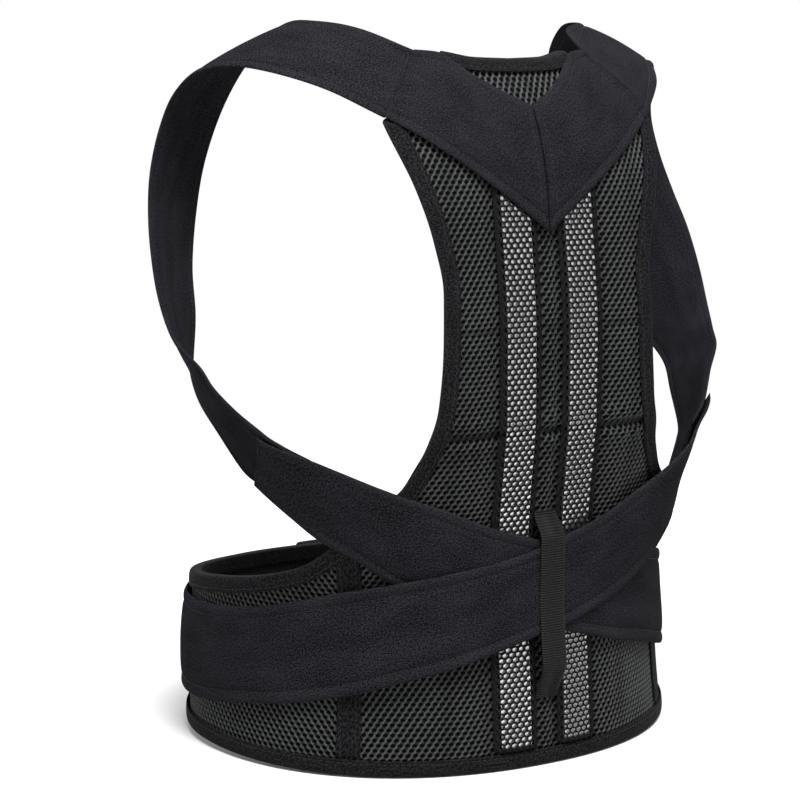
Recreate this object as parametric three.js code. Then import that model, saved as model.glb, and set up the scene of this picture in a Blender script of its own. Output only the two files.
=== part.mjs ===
// A posture corrector in the form that it has when it is worn.
// Millimetres. +X is the wearer's right, +Y is forward and +Z is up.
// The origin is midway between the shoulders, at the height of the straps' crests.
import * as THREE from "three";

// Overall form
const crestToHem = 425;
const chestHalfWidth = 194;
const backDepth = 132;
const frontDepth = 112;
const axisForward = 28;
const frontSquareness = 2;

// Cloth
const panelWall = 4;
const wingWall = 3.5;
const yokeWall = 2.2;
const strapWall = 2.2;
const bandWall = 2.2;
const bindingWall = 1;
const foldGap = 0.9;
const edgeEase = 0.6;
const bindingWidth = 7.5;
const rimStart = 7;
const tapeWall = 1;
const tapeWidth = 14;
const webbingWall = 1.5;
const clothGap = 0.6;

// Stays and the channels that hold them
const stayWidth = 19;
const stayWall = 1.5;
const stayFromMiddle = 21.1;
const channelWall = 1;
const seatGap = 0.5;

// Places along the brace
const seamAngle = 48;
const seamGap = 0.15;
const frontAngle = 180;
const frontOverlap = 9;
const bandEndAngle = 150;
const tabStartAngle = 63.8;
const tabSlant = 2;
const keeperWidth = 15.5;
const keeperAbove = 18;
const keeperBelow = 40;

// Layers, each as its distance from the body
const bindingOuter = panelWall + foldGap + bindingWall;
const yokeInner = bindingOuter + clothGap;
const yokeOuter = yokeInner + yokeWall;
const stayInner = panelWall + seatGap;
const stayOuter = stayInner + stayWall;
const channelInner = stayOuter + seatGap;
const channelOuter = channelInner + channelWall;
const outerWing = panelWall + 2 * (foldGap + bindingWall) + clothGap;
const bandInner = bindingOuter + clothGap;
const lowerCrossing = channelOuter + clothGap;
const upperCrossing = lowerCrossing + bandWall + clothGap;
const keeperInner = upperCrossing + bandWall + clothGap;

// Body sections. drop: share of crestToHem. side, back, front: shares of the named half sizes.
// square: 2 is an ellipse behind the middle, and more is squarer.
const body = [
  { drop: 0, side: 0.48, back: 0.64, front: 0.71, square: 2.2 },
  { drop: 0.045, side: 0.59, back: 0.69, front: 0.8, square: 2.2 },
  { drop: 0.125, side: 0.86, back: 0.865, front: 0.9, square: 2.3 },
  { drop: 0.212, side: 0.95, back: 0.955, front: 0.93, square: 3 },
  { drop: 0.282, side: 0.97, back: 0.987, front: 0.95, square: 4 },
  { drop: 0.424, side: 0.907, back: 1.03, front: 0.97, square: 5.19 },
  { drop: 0.527, side: 0.853, back: 1.03, front: 0.97, square: 3.5 },
  { drop: 0.588, side: 0.833, back: 1.012, front: 0.97, square: 2.6 },
  { drop: 0.668, side: 0.754, back: 0.985, front: 0.983, square: 2.5 },
  { drop: 0.765, side: 0.739, back: 0.977, front: 1.008, square: 2.15 },
  { drop: 0.882, side: 0.757, back: 1.008, front: 1.006, square: 2.05 },
  { drop: 1.02, side: 0.76, back: 1.03, front: 0.995, square: 2.2 },
];

// Upper rim: down the armhole, then along the top of the belt to its front end.
const rim = [
  { angle: 40.4, drop: 0.125 },
  { angle: 32.6, drop: 0.212 },
  { angle: 28.4, drop: 0.287 },
  { angle: 26.4, drop: 0.353 },
  { angle: 26.5, drop: 0.424 },
  { angle: 27.5, drop: 0.504 },
  { angle: 30.3, drop: 0.56 },
  { angle: 32.8, drop: 0.588 },
  { angle: 35.6, drop: 0.616 },
  { angle: 42, drop: 0.647 },
  { angle: 48, drop: 0.682 },
  { angle: 55, drop: 0.715 },
  { angle: 60, drop: 0.732 },
  { angle: 75, drop: 0.755 },
  { angle: 90, drop: 0.769 },
  { angle: 106, drop: 0.782 },
  { angle: 145, drop: 0.804 },
  { angle: 180, drop: 0.811 },
  { angle: 195, drop: 0.811 },
];

// Neck scoop, from the middle to the shoulder seam and along that seam.
const scoop = [
  { angle: 0, drop: 0.056 },
  { angle: 14, drop: 0.054 },
  { angle: 28.6, drop: 0.045 },
  { angle: 34.3, drop: 0.045 },
  { angle: 40.4, drop: 0.125 },
];
const scoopCorner = 34.3;
const neckEndAngle = 28;

// Hem
const hem = [
  { angle: 0, drop: 1 },
  { angle: 30, drop: 1 },
  { angle: 60, drop: 0.998 },
  { angle: 106, drop: 0.99 },
  { angle: 145, drop: 0.976 },
  { angle: 195, drop: 0.969 },
];

// Edges of the yoke's left half, from the middle to the shoulder seam
const yokeEdge = [
  { across: 0, upper: 0.112, lower: 0.279 },
  { across: 0.12, upper: 0.103, lower: 0.258 },
  { across: 0.45, upper: 0.074, lower: 0.203 },
  { across: 0.8, upper: 0.0415, lower: 0.15 },
  { across: 1, upper: 0.039, lower: 0.125 },
];

// Band that starts below one armpit, crosses the back and goes round the other side of the waist.
const band = [
  { angle: -71, top: 0.479, bottom: 0.589 },
  { angle: -66.5, top: 0.509, bottom: 0.607 },
  { angle: -60.5, top: 0.544, bottom: 0.646 },
  { angle: -53, top: 0.565, bottom: 0.684 },
  { angle: -47.5, top: 0.583, bottom: 0.702 },
  { angle: -36.5, top: 0.616, bottom: 0.749 },
  { angle: -27, top: 0.639, bottom: 0.773 },
  { angle: -17, top: 0.665, bottom: 0.793 },
  { angle: -5.5, top: 0.687, bottom: 0.811 },
  { angle: 5, top: 0.705, bottom: 0.824 },
  { angle: 24.5, top: 0.726, bottom: 0.856 },
  { angle: 36, top: 0.737, bottom: 0.873 },
  { angle: 47, top: 0.75, bottom: 0.892 },
  { angle: 61, top: 0.772, bottom: 0.912 },
  { angle: 72, top: 0.788, bottom: 0.922 },
  { angle: 92, top: 0.802, bottom: 0.939 },
  { angle: 120, top: 0.807, bottom: 0.946 },
  { angle: 170, top: 0.807, bottom: 0.948 },
];

// Outer face of the shoulder strap between its seam and the band. Each row holds a place on the
// arm side and one on the neck side: out, forward and down, as shares of chestHalfWidth,
// frontDepth and crestToHem.
const strapRows = [
  { arm: [0.605, -0.49, 0.085], neck: [0.371, -0.205, 0.01] },
  { arm: [0.74, -0.15, 0.06], neck: [0.475, -0.07, 0] },
  { arm: [0.83, 0.04, 0.064], neck: [0.505, 0.161, 0.003] },
  { arm: [0.88, 0.17, 0.094], neck: [0.548, 0.39, 0.042] },
  { arm: [0.911, 0.245, 0.141], neck: [0.604, 0.53, 0.106] },
  { arm: [0.946, 0.235, 0.198], neck: [0.662, 0.585, 0.188] },
  { arm: [0.974, 0.165, 0.254], neck: [0.713, 0.538, 0.266] },
  { arm: [0.995, 0.07, 0.308], neck: [0.757, 0.435, 0.336] },
  { arm: [1, -0.03, 0.365], neck: [0.79, 0.29, 0.4] },
  { arm: [0.984, -0.149, 0.419], neck: [0.832, 0.19, 0.457] },
  { arm: [0.945, -0.29, 0.452], neck: [0.855, 0.12, 0.477] },
  { arm: [0.926, -0.368, 0.476], neck: [0.865, -0.021, 0.51] },
  { arm: [0.873, -0.43, 0.506], neck: [0.84, -0.143, 0.548] },
];
// Where the strap's two edges lie under the band, and how far the upper one stands above the band's edge
const strapOnBand = [
  { armAngle: 62, neckAngle: 68.5, rise: 3.2 },
  { armAngle: 60, neckAngle: 64.5, rise: 2 },
  { armAngle: 57, neckAngle: 59, rise: 0.3 },
  { armAngle: 53, neckAngle: 53, rise: -2 },
];
const strapSetback = 1.5;

// Facets along and across each kind of piece
const facets = {
  panel: [20, 32],
  wing: [24, 6],
  tape: [2, 10],
  yoke: [9, 5],
  stay: [1, 24],
  strap: [36, 3],
  band: [46, 3],
  keeper: [2, 18],
  hem: 32,
  rim: 48,
  neck: 18,
  channel: 24,
};

// Finishes
const finishes = {
  velour: new THREE.MeshStandardMaterial({ color: 0x232328, roughness: 0.95, metalness: 0 }),
  spacerMesh: new THREE.MeshStandardMaterial({ color: 0x2b2c2e, roughness: 0.85, metalness: 0 }),
  binding: new THREE.MeshStandardMaterial({ color: 0x1b1b1d, roughness: 0.8, metalness: 0 }),
  webbing: new THREE.MeshStandardMaterial({ color: 0x161617, roughness: 0.7, metalness: 0 }),
  aluminium: new THREE.MeshStandardMaterial({ color: 0xc4c6c8, roughness: 0.35, metalness: 1 }),
};

const brace = new THREE.Group();

// Reads a column of a table at a place between its rows, without overshoot.
function read(table, key, at, column) {
  const last = table.length - 1;
  if (at <= table[0][key]) return table[0][column];
  if (at >= table[last][key]) return table[last][column];
  let row = 0;
  while (table[row + 1][key] < at) row += 1;
  const rise = (k) => (table[k + 1][column] - table[k][column]) / (table[k + 1][key] - table[k][key]);
  const slope = (k) => {
    if (k === 0) return rise(0);
    if (k === last) return rise(last - 1);
    const before = rise(k - 1);
    const after = rise(k);
    return before * after <= 0 ? 0 : (2 * before * after) / (before + after);
  };
  const span = table[row + 1][key] - table[row][key];
  const s = (at - table[row][key]) / span;
  const start = table[row][column] * (1 + 2 * s) * (1 - s) ** 2 + span * slope(row) * s * (1 - s) ** 2;
  const end = table[row + 1][column] * s * s * (3 - 2 * s) + span * slope(row + 1) * s * s * (s - 1);
  return start + end;
}

function smooth(from, to, at) {
  return THREE.MathUtils.smoothstep(at, from, to);
}

function mix(a, b, share) {
  return a + (b - a) * share;
}

// A place round the body: angle in degrees from the middle of the back, towards the wearer's right.
function around(angle, z, lift) {
  const turn = THREE.MathUtils.degToRad(angle);
  const drop = -z / crestToHem;
  const side = read(body, "drop", drop, "side") * chestHalfWidth;
  const behind = Math.cos(turn) > 0;
  const half = behind ? backDepth : frontDepth;
  const depth = read(body, "drop", drop, behind ? "back" : "front") * half;
  const power = behind ? read(body, "drop", drop, "square") : frontSquareness;
  const across = Math.abs(Math.sin(turn) / side) ** power;
  const along = Math.abs(Math.cos(turn) / depth) ** power;
  const reach = (across + along) ** (-1 / power) + lift;
  return new THREE.Vector3(reach * Math.sin(turn), axisForward - reach * Math.cos(turn), z);
}

// The angle at which a distance from the middle of the back is reached.
function angleAt(x, z) {
  let angle = THREE.MathUtils.radToDeg(Math.atan(x / backDepth));
  for (let step = 0; step < 4; step += 1) {
    const place = around(angle, z, panelWall);
    angle = THREE.MathUtils.radToDeg(Math.atan(x / (axisForward - place.y)));
  }
  return angle;
}

const hemLevel = (angle) => -crestToHem * read(hem, "angle", Math.abs(angle), "drop");
const rimLevel = (angle) => -crestToHem * read(rim, "angle", Math.abs(angle), "drop");
const scoopLevel = (angle) => -crestToHem * read(scoop, "angle", Math.abs(angle), "drop");
const armholeAngle = (z) =>
  z <= rimLevel(seamAngle) ? seamAngle : read(rim, "drop", -z / crestToHem, "angle");
const cornerLevel = -crestToHem * rim[0].drop;
const cornerAngle = rim[0].angle;

// Turns a closed mesh's faces outwards.
function faceOut(geometry) {
  const at = geometry.getAttribute("position");
  const index = geometry.index;
  const order = index ? index.array : Array.from({ length: at.count }, (_, k) => k);
  const a = new THREE.Vector3();
  const b = new THREE.Vector3();
  const c = new THREE.Vector3();
  let volume = 0;
  for (let k = 0; k < order.length; k += 3) {
    a.fromBufferAttribute(at, order[k]);
    b.fromBufferAttribute(at, order[k + 1]);
    c.fromBufferAttribute(at, order[k + 2]);
    volume += a.dot(b.cross(c));
  }
  if (volume > 0) return geometry;
  const turned = Array.from(order);
  for (let k = 0; k < turned.length; k += 3) [turned[k], turned[k + 1]] = [turned[k + 1], turned[k]];
  geometry.setIndex(turned);
  return geometry;
}

function addPiece(name, geometry, finish, bend) {
  const at = geometry.getAttribute("position");
  for (let k = 0; k < at.count; k += 1) {
    const place = bend(at.getX(k), at.getY(k), at.getZ(k));
    at.setXYZ(k, place.x, place.y, place.z);
  }
  geometry.deleteAttribute("uv");
  faceOut(geometry);
  geometry.computeVertexNormals();
  const mesh = new THREE.Mesh(geometry, finish);
  mesh.name = name;
  brace.add(mesh);
}

// A sheet: place(u, v, w) has u along it, v across it and w through it, each from 0 to 1.
function addSheet(name, finish, [columns, rows], place) {
  const box = new THREE.BoxGeometry(1, 1, 1, columns, rows, 1);
  addPiece(name, box, finish, (x, y, z) => place(x + 0.5, y + 0.5, z + 0.5));
}

// A strip of one cross-section: place(a, b, t) has a and b in the section and t along the strip.
function addStrip(name, finish, corners, steps, place) {
  const shape = new THREE.Shape(corners.map(([a, b]) => new THREE.Vector2(a, b)));
  const strip = new THREE.ExtrudeGeometry(shape, { depth: 1, steps, bevelEnabled: false });
  addPiece(name, strip, finish, place);
}

// A binding folded over an edge. route(t) gives the edge's angle, level and layer, and inward is
// 1 or -1, the side of the route that the cloth lies on.
function addBinding(name, steps, inward, route) {
  const fold = -foldGap - bindingWall;
  const outside = panelWall + foldGap;
  const corners = [
    [fold, fold],
    [bindingWidth, fold],
    [bindingWidth, -foldGap],
    [-foldGap, -foldGap],
    [-foldGap, outside],
    [bindingWidth, outside],
    [bindingWidth, outside + bindingWall],
    [fold, outside + bindingWall],
  ];
  const nudge = 0.5 / steps;
  addStrip(name, finishes.binding, corners, steps, (a, b, t) => {
    const here = route(t);
    const before = route(Math.max(0, t - nudge));
    const after = route(Math.min(1, t + nudge));
    const place = around(here.angle, here.z, 0);
    const reach = Math.hypot(place.x, place.y - axisForward);
    const degree = THREE.MathUtils.degToRad(1) * reach;
    const run = new THREE.Vector2((after.angle - before.angle) * degree, after.z - before.z).normalize();
    const angle = here.angle - (run.y * a * inward) / degree;
    return around(angle, here.z + run.x * a * inward, here.lift + b);
  });
}

// Back panel
addSheet("back_panel", finishes.spacerMesh, facets.panel, (u, v, w) => {
  const even = 2 * u - 1;
  const side = even * (1.3 - 0.3 * even * even);
  const edgeLevel = mix(hemLevel(seamAngle), cornerLevel, v);
  const half = mix(armholeAngle(edgeLevel), cornerAngle, smooth(0.98, 1, v));
  const angle = side * (half - (half < seamAngle ? edgeEase : seamGap));
  const hemShift = (hemLevel(side * seamAngle) - hemLevel(seamAngle)) * (1 - v);
  const rise = (scoopLevel(side * cornerAngle) - cornerLevel) * v ** 3;
  return around(angle, edgeLevel + hemShift + rise, w * panelWall);
});

// Belt wings, which overlap at the front, the right one outside
const frontEnd = frontAngle + frontOverlap;
const rampEnd = frontAngle - frontOverlap;
const wingLift = (angle, side) => (side > 0 ? smooth(bandEndAngle + 2, rampEnd, angle) * outerWing : 0);

for (const [name, side] of [["left", -1], ["right", 1]]) {
  addSheet(`belt_wing_${name}`, finishes.spacerMesh, facets.wing, (u, v, w) => {
    const angle = mix(seamAngle + seamGap, frontEnd, u);
    const z = mix(hemLevel(angle), rimLevel(angle), v);
    return around(side * angle, z, wingLift(angle, side) + w * wingWall);
  });

  addSheet(`side_tape_${name}`, finishes.binding, facets.tape, (u, v, w) => {
    const inset = bindingWidth + clothGap;
    const reach = chestHalfWidth * read(body, "drop", -rimLevel(seamAngle) / crestToHem, "side");
    const half = THREE.MathUtils.radToDeg(tapeWidth / 2 / reach);
    const angle = seamAngle + (2 * u - 1) * half;
    const z = mix(hemLevel(seamAngle) + inset, rimLevel(seamAngle + half) - 2 * inset, v);
    return around(side * angle, z, panelWall + seatGap + w * tapeWall);
  });

  addBinding(`hem_binding_${name}`, facets.hem, side, (t) => {
    const angle = frontEnd * t + seamGap * (1 - t);
    return { angle: side * angle, z: hemLevel(angle), lift: wingLift(angle, side) };
  });

  // Down the armhole by level, then along the belt by angle
  const turnShare = 0.5;
  addBinding(`rim_binding_${name}`, facets.rim, -side, (t) => {
    const down = THREE.MathUtils.clamp(t / turnShare, 0, 1);
    const level = mix(cornerLevel - rimStart, rimLevel(seamAngle), down);
    const along = mix(seamAngle, frontEnd, (t - turnShare) / (1 - turnShare));
    const angle = t < turnShare ? armholeAngle(level) : along;
    const z = t < turnShare ? level : rimLevel(angle);
    return { angle: side * angle, z, lift: wingLift(angle, side) };
  });
}

addBinding("neck_binding", facets.neck, -1, (t) => {
  const angle = (2 * t - 1) * neckEndAngle;
  return { angle, z: scoopLevel(angle), lift: 0 };
});

// Yoke halves, sewn to each other in the middle of the back
const yokeLower = (angle) => -crestToHem * read(yokeEdge, "across", Math.abs(angle) / cornerAngle, "lower");

for (const [name, side] of [["left", -1], ["right", 1]]) {
  addSheet(`yoke_${name}`, finishes.velour, facets.yoke, (u, v, w) => {
    const angle = mix(seamGap, mix(cornerAngle, scoopCorner, v) - seamGap, u);
    const upper = -crestToHem * read(yokeEdge, "across", u, "upper");
    const lower = -crestToHem * read(yokeEdge, "across", u, "lower");
    return around(side * angle, mix(lower, upper, v), yokeInner + w * yokeWall);
  });
}

// Stays, and the mesh channels sewn over them
for (const [name, side] of [["left", -1], ["right", 1]]) {
  const bottom = hemLevel(0) + bindingWidth + 3 * clothGap;
  const onPanel = (x, z, lift) => around(side * angleAt(x, z), z, lift);
  const topLevel = (x) => yokeLower(angleAt(x, yokeLower(0))) - clothGap;

  addSheet(`stay_${name}`, finishes.aluminium, facets.stay, (u, v, w) => {
    const x = stayFromMiddle + (u - 0.5) * stayWidth;
    const z = mix(bottom + clothGap, topLevel(x) - clothGap, v);
    return onPanel(x, z, stayInner + w * stayWall);
  });

  const inside = stayWidth / 2 + seatGap;
  const outside = inside + channelWall;
  const corners = [
    [-outside, stayInner],
    [-inside, stayInner],
    [-inside, channelInner],
    [inside, channelInner],
    [inside, stayInner],
    [outside, stayInner],
    [outside, channelOuter],
    [-outside, channelOuter],
  ];
  addStrip(`stay_channel_${name}`, finishes.spacerMesh, corners, facets.channel, (a, b, t) => {
    const x = stayFromMiddle + a;
    return onPanel(x, mix(bottom, topLevel(x), t), b);
  });
}

// Shoulder straps, from the yoke over the shoulder and down to the armpit
const down = (table, angle, column) => -crestToHem * read(table, "angle", angle, column);
const strapPlace = ([out, forward, drop]) =>
  new THREE.Vector3(out * chestHalfWidth, forward * frontDepth, -drop * crestToHem);
const strapEndLift = bandInner - 4 * clothGap;
const seamStart = seamGap * 3;
const armCurve = new THREE.CatmullRomCurve3([
  around(cornerAngle + seamStart, cornerLevel, yokeOuter),
  ...strapRows.map((row) => strapPlace(row.arm)),
  ...strapOnBand.map(({ armAngle, rise }) =>
    around(armAngle, down(band, -armAngle, "top") + rise, strapEndLift)),
]);
const neckCurve = new THREE.CatmullRomCurve3([
  around(scoopCorner + seamStart, -crestToHem * read(yokeEdge, "across", 1, "upper"), yokeOuter),
  ...strapRows.map((row) => strapPlace(row.neck)),
  ...strapOnBand.map(({ neckAngle }) =>
    around(neckAngle, down(band, -neckAngle, "bottom") + strapSetback, strapEndLift)),
]);

for (const [name, side] of [["left", -1], ["right", 1]]) {
  addSheet(`shoulder_strap_${name}`, finishes.velour, facets.strap, (u, v, w) => {
    const place = armCurve.getPoint(u).lerp(neckCurve.getPoint(u), v);
    const nudge = 0.01;
    const middle = (t) => armCurve.getPoint(THREE.MathUtils.clamp(t, 0, 1)).lerp(
      neckCurve.getPoint(THREE.MathUtils.clamp(t, 0, 1)), 0.5);
    const run = middle(u + nudge).sub(middle(u - nudge));
    const across = neckCurve.getPoint(u).sub(armCurve.getPoint(u));
    const outward = run.cross(across).normalize();
    place.addScaledVector(outward, (w - 1) * strapWall);
    place.x *= side;
    return place;
  });
}

// Cross bands: the one from the left armpit lies below the one from the right
for (const [name, start, crossing, inner, outer] of [
  ["left", 1, lowerCrossing, 17, 26],
  ["right", -1, upperCrossing, 44, 54],
]) {
  addSheet(`cross_band_${name}`, finishes.velour, facets.band, (u, v, w) => {
    const angle = mix(tabSlant * (2 * v - 1) - tabStartAngle, bandEndAngle, u);
    const z = mix(down(band, angle, "bottom"), down(band, angle, "top"), v);
    const lift = mix(crossing, bandInner, smooth(inner, outer, Math.abs(angle)));
    return around(start * angle, z, lift + w * bandWall);
  });
}

// Keeper, a webbing loop that holds the crossing to the panel
const keeperTop = down(band, 0, "top") + keeperAbove;
const keeperBottom = down(band, 0, "bottom") - keeperBelow;
addSheet("keeper_loop", finishes.webbing, facets.keeper, (u, v, w) => {
  const x = (u - 0.5) * keeperWidth;
  const z = mix(keeperBottom, keeperTop, v);
  const seat = panelWall + seatGap;
  const lift = mix(seat, keeperInner, smooth(0, 0.2, v) * (1 - smooth(0.86, 1, v)));
  return around(x >= 0 ? angleAt(x, z) : -angleAt(-x, z), z, lift + w * webbingWall);
});

brace.updateMatrixWorld(true);
export default brace;
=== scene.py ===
"""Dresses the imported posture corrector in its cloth, webbing and aluminium, and sets up a plain studio.

Metres. +X is the wearer's right, +Y forward and +Z up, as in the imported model.
"""

import math
from bisect import bisect_right

import bmesh
import bpy
from bpy.props import FloatProperty, FloatVectorProperty, PointerProperty
from mathutils import Matrix, Vector, noise


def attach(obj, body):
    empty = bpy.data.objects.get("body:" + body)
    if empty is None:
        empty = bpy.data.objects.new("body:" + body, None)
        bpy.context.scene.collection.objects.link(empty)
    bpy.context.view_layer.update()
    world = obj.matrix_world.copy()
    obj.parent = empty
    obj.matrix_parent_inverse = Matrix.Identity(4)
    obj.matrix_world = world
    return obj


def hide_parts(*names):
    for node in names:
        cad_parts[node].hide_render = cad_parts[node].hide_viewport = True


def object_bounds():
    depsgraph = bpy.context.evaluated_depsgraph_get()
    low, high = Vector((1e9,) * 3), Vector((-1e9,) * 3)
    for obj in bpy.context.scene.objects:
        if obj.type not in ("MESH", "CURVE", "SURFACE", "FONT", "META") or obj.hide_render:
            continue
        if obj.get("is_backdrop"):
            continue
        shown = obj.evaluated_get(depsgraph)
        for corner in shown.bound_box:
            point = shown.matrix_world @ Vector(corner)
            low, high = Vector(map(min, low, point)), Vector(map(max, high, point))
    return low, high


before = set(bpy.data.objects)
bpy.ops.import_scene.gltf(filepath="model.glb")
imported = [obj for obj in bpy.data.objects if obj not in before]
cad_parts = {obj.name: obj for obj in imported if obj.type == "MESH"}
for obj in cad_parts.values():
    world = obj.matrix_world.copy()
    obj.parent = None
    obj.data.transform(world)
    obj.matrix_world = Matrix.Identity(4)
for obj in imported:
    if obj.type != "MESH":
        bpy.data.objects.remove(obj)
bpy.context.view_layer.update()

bl_info = {
    "name": "Posture Corrector",
    "version": (1, 0, 0),
    "blender": (4, 5, 0),
    "location": "View3D > Sidebar > Brace",
    "description": "Builds the cloth, stays and studio of a posture corrector",
    "category": "Object",
}

# Body sections. drop: share of the height. side, back, front: shares of the half sizes.
# square: 2 is an ellipse behind the middle, and more is squarer.
BODY = {
    "drop": (0, .045, .125, .212, .282, .424, .527, .588, .668, .765, .882, 1.02),
    "side": (.48, .59, .86, .95, .97, .907, .853, .833, .754, .739, .757, .76),
    "back": (.64, .69, .865, .955, .987, 1.03, 1.03, 1.012, .985, .977, 1.008, 1.03),
    "front": (.71, .8, .9, .93, .95, .97, .97, .97, .983, 1.008, 1.006, .995),
    "square": (2.2, 2.2, 2.3, 3, 4, 5.19, 3.5, 2.6, 2.5, 2.15, 2.05, 2.2),
}
# Upper rim: down the armhole, then along the top of the belt
RIM = {
    "angle": (40.4, 32.6, 28.4, 26.4, 26.5, 27.5, 30.3, 32.8, 35.6, 42, 48, 55, 60, 75, 90, 106, 145, 180,
              195),
    "drop": (.125, .212, .287, .353, .424, .504, .56, .588, .616, .647, .682, .715, .732, .755, .769, .782,
             .804, .811, .811),
}
SCOOP = {"angle": (0, 14, 28.6, 34.3, 40.4), "drop": (.056, .054, .045, .045, .125)}
HEM = {"angle": (0, 30, 60, 106, 145, 195), "drop": (1, 1, .998, .99, .976, .969)}
YOKE = {"across": (0, .12, .45, .8, 1), "upper": (.112, .103, .074, .0415, .039),
        "lower": (.279, .258, .203, .15, .125)}
BAND = {
    "angle": (-71, -66.5, -60.5, -53, -47.5, -36.5, -27, -17, -5.5, 5, 24.5, 36, 47, 61, 72, 92, 120, 170),
    "top": (.479, .509, .544, .565, .583, .616, .639, .665, .687, .705, .726, .737, .75, .772, .788, .802,
            .807, .807),
    "bottom": (.589, .607, .646, .684, .702, .749, .773, .793, .811, .824, .856, .873, .892, .912, .922, .939,
               .946, .948),
}
# Shoulder strap: places out, forward and down on its arm side and on its neck side
STRAP_ARM = ((.605, -.49, .085), (.74, -.15, .06), (.83, .04, .064), (.88, .17, .094),
             (.911, .245, .141), (.946, .235, .198), (.974, .165, .254), (.995, .07, .308),
             (1, -.03, .365), (.984, -.149, .419), (.945, -.29, .452), (.926, -.368, .476),
             (.873, -.43, .506))
STRAP_NECK = ((.371, -.205, .01), (.475, -.07, 0), (.505, .161, .003), (.548, .39, .042),
              (.604, .53, .106), (.662, .585, .188), (.713, .538, .266), (.757, .435, .336),
              (.79, .29, .4), (.832, .19, .457), (.855, .12, .477), (.865, -.021, .51),
              (.84, -.143, .548))
# Where the strap's two edges lie under the band: angles of its arm and neck edges, and how far the upper
# edge stands above the band's
STRAP_ON_BAND = ((62, 68.5, .0032), (60, 64.5, .002), (57, 59, .0003), (53, 53, -.002))
SIDES = (("left", -1), ("right", 1))

# Angles in degrees from the middle of the back, levels from the crests, and sizes
SEAM_ANGLE = 48
SCOOP_CORNER = 34.3
NECK_END = 26
NECK_SHARE = .75
RIM_CORNER = 40.4
FRONT_END = 189
TAB_ANGLE = -63.8
TAB_SLANT = 2
BAND_END = 150
WING_CROSSED = 171
WAIST_SEAM = -.2315
BACK_SEAM = -.1727
MM = .001
CLOTH_GAP = .6 * MM
WEBBING_WALL = 1.5 * MM
CHANNEL_OUTER = 7.5 * MM
TAPE_STITCH = 2.2 * MM
THREAD_ABOVE = 1.06
SIDE_TAPE = 14 * MM
CROSSED_WING = 8.4 * MM
STAY_SEAM = 15.5 * MM
NET_RIB = 1.12 * MM
# Shares of the yoke's half width
MIDDLE_SEAM = .055
SHOULDER_SEAM = .93
# Opposite corners of the laid-out mesh: distance round the body and level
PANEL_MESH = (-.152, -.4255), (.152, -.0178)
WING_MESH = (-.004, -.4255), (.36, -.288)
ARC_ROW = 4 * MM
ARC_DEGREES = 200
SEWN_STEPS = 150
SEWN_AT_ONCE = 25
# Slots of the mesh cloth: its threads, painted shade on its hole floors, and its lining
MESH_CLOTH = ("spacer_mesh", "spacer_mesh_hole_shade", "lining")


def number(name, text, default, unit="NONE"):
    return FloatProperty(name=name, description=text, default=default, unit=unit)


def size(name, text, default):
    return FloatProperty(name=name, description=text, default=default, unit="LENGTH", precision=4)


def colour(name, text, value):
    return FloatVectorProperty(name=name, description=text, default=value, size=3, min=0, max=1,
                               subtype="COLOR")


class BraceSizes(bpy.types.PropertyGroup):
    height: size("Height", "From the straps' crests to the hem", .425)
    half_width: size("Half width", "Half the width across the straps", .194)
    back_depth: size("Back depth", "From the body's axis to its back", .132)
    front_depth: size("Front depth", "From the body's axis to its front", .112)
    axis_forward: size("Axis forward", "How far the body's axis lies before the shoulders", .028)
    panel_wall: size("Panel thickness", "Thickness of the spacer mesh of the back", .004)
    wing_wall: size("Wing thickness", "Thickness of the spacer mesh of the belt", .0035)
    cloth_wall: size("Velour thickness", "Thickness of straps, bands and yoke", .0022)
    binding_wall: size("Binding thickness", "Thickness of the edge binding", .001)
    binding_width: size("Binding width", "Width of the edge binding on each side", .0075)
    fold_gap: size("Fold gap", "Room between an edge and the binding's fold", .0009)
    hole_across: size("Hole pitch across", "Pitch of the mesh holes across the back", .00416)
    hole_up: size("Hole pitch up", "Pitch of the mesh holes' rows", .00294)
    rib: size("Mesh rib", "Width of the ribs between the mesh holes", .0015)
    hem_inset: size("Seam inset", "From a velour edge to its stitches", .0062)
    stitch: size("Stitch pitch", "Length of one stitch with its gap", .0034)
    thread: size("Thread", "Thickness of the sewing thread", .00055)
    stay_width: size("Stay width", "Width of an aluminium stay", .019)
    stay_offset: size("Stay offset", "From the middle of the back to a stay", .0211)
    keeper_width: size("Keeper width", "Width of the webbing loop", .0155)


class BraceColours(bpy.types.PropertyGroup):
    velour: colour("Velour", "Brushed loop cloth", (.0027, .0026, .0032))
    velour_light: colour("Velour nap", "Tips of the velour's nap", (.0182, .0178, .0214))
    mesh_rib: colour("Mesh ribs", "Threads of the spacer mesh", (.056, .058, .0575))
    mesh_shade: colour("Mesh shade", "Darker threads of the spacer mesh", (.0055, .0057, .0057))
    net: colour("Net ribs", "Threads of the open net over the stays", (.013, .0132, .0132))
    net_shade: colour("Net shade", "Darker threads of the net", (.003, .0031, .0031))
    lining: colour("Lining", "Knitted inner face of the spacer mesh", (.0135, .0138, .0138))
    # Near-black painted shade on the floors of the mesh's holes, and the dark end of the lining's knit
    hole_shade_and_dark_knit: colour("Mesh holes", "What shows in the mesh's holes", (.0012, .0013, .0013))
    binding: colour("Binding", "Woven edge tape", (.0054, .0053, .0059))
    webbing: colour("Webbing", "Ribs of the keeper loop", (.0052, .0053, .0054))
    thread: colour("Thread", "Sewing thread", (.013, .013, .0145))
    aluminium: colour("Aluminium", "Stays", (.72, .725, .73))
    floor: colour("Floor", "Floor and backdrop", (.62, .62, .62))


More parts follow.
